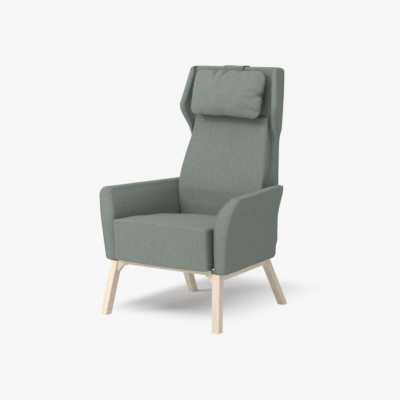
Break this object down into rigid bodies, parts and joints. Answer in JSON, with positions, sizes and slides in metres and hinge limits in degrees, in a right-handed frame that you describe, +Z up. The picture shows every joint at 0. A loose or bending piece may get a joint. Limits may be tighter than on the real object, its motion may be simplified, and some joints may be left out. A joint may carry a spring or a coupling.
{
  "type": "high back lounge chair",
  "caption": "High back lounge chair with side wings, low upholstered arms, splayed wood legs and a head pillow held by a counterweighted strap over the back.",
  "frame": {"origin": "on the floor under the middle of the whole chair", "axes": "+X to the sitter's left, +Y to the back, +Z up"},
  "size_m": [0.78, 0.7028, 1.1643],
  "materials": {
    "birch": "clear matt lacquer on pale solid birch",
    "plywood": "raw plywood inside the upholstery",
    "upholstery": "grey green plain weave wool",
    "foam": "open cell cushion foam",
    "webbing": "woven elastic webbing",
    "dust_cloth": "thin non-woven cloth",
    "steel": "zinc plated",
    "glide": "moulded nylon"
  },
  "bodies": {
    "chair": {"rail_front": "birch", "rail_rear": "birch", "rail_left": "birch", "leg_front_left": "birch", "glide_front_left": "glide", "corner_block_front_left": "plywood", "leg_bolt_front_left": "steel", "leg_rear_left": "birch", "glide_rear_left": "glide", "corner_block_rear_left": "plywood", "leg_bolt_rear_left": "steel", "rail_right": "birch", "leg_front_right": "birch", "glide_front_right": "glide", "corner_block_front_right": "plywood", "leg_bolt_front_right": "steel", "leg_rear_right": "birch", "glide_rear_right": "glide", "corner_block_rear_right": "plywood", "leg_bolt_rear_right": "steel", "seat_cover": "upholstery", "seat_foam": "foam", "seat_frame_front": "plywood", "seat_frame_rear": "plywood", "seat_frame_left": "plywood", "seat_frame_right": "plywood", "webbing_left": "webbing", "webbing_middle": "webbing", "webbing_right": "webbing", "dust_cover": "dust_cloth", "arm_cover_left": "upholstery", "arm_foam_left": "foam", "arm_core_left": "plywood", "arm_bolt_left": "steel", "arm_cover_right": "upholstery", "arm_foam_right": "foam", "arm_core_right": "plywood", "arm_bolt_right": "steel", "shell_cover": "upholstery", "shell_foam": "foam", "wing_foam_left": "foam", "wing_core_left": "plywood", "back_upright_left": "plywood", "back_bolt_left": "steel", "wing_foam_right": "foam", "wing_core_right": "plywood", "back_upright_right": "plywood", "back_bolt_right": "steel", "back_rail_top": "plywood", "back_rail_bottom": "plywood", "back_pad_cover": "upholstery", "back_pad_foam": "foam", "strap_top": "upholstery"},
    "head_pillow": {"pillow_cover": "upholstery", "pillow_fill": "foam", "strap_front": "upholstery"},
    "counterweight": {"weight_pouch": "upholstery", "weight_bar": "steel", "strap_rear": "upholstery"}
  },
  "joints": [
    {"name": "pillow_slide", "type": "slide", "parent": "chair", "child": "head_pillow", "axis": [0, 0.2079, 0.9781], "range_m": [-0.12, 0.01], "deforming": ["strap_front"]},
    {"name": "counterweight_slide", "type": "slide", "parent": "chair", "child": "counterweight", "axis": [0, 0.0845, 0.9964], "range_m": [-0.012, 0.122], "deforming": ["strap_rear"]}
  ],
  "couplings": [
    {"joint": "counterweight_slide", "follows": "pillow_slide", "ratio": -1}
  ]
}
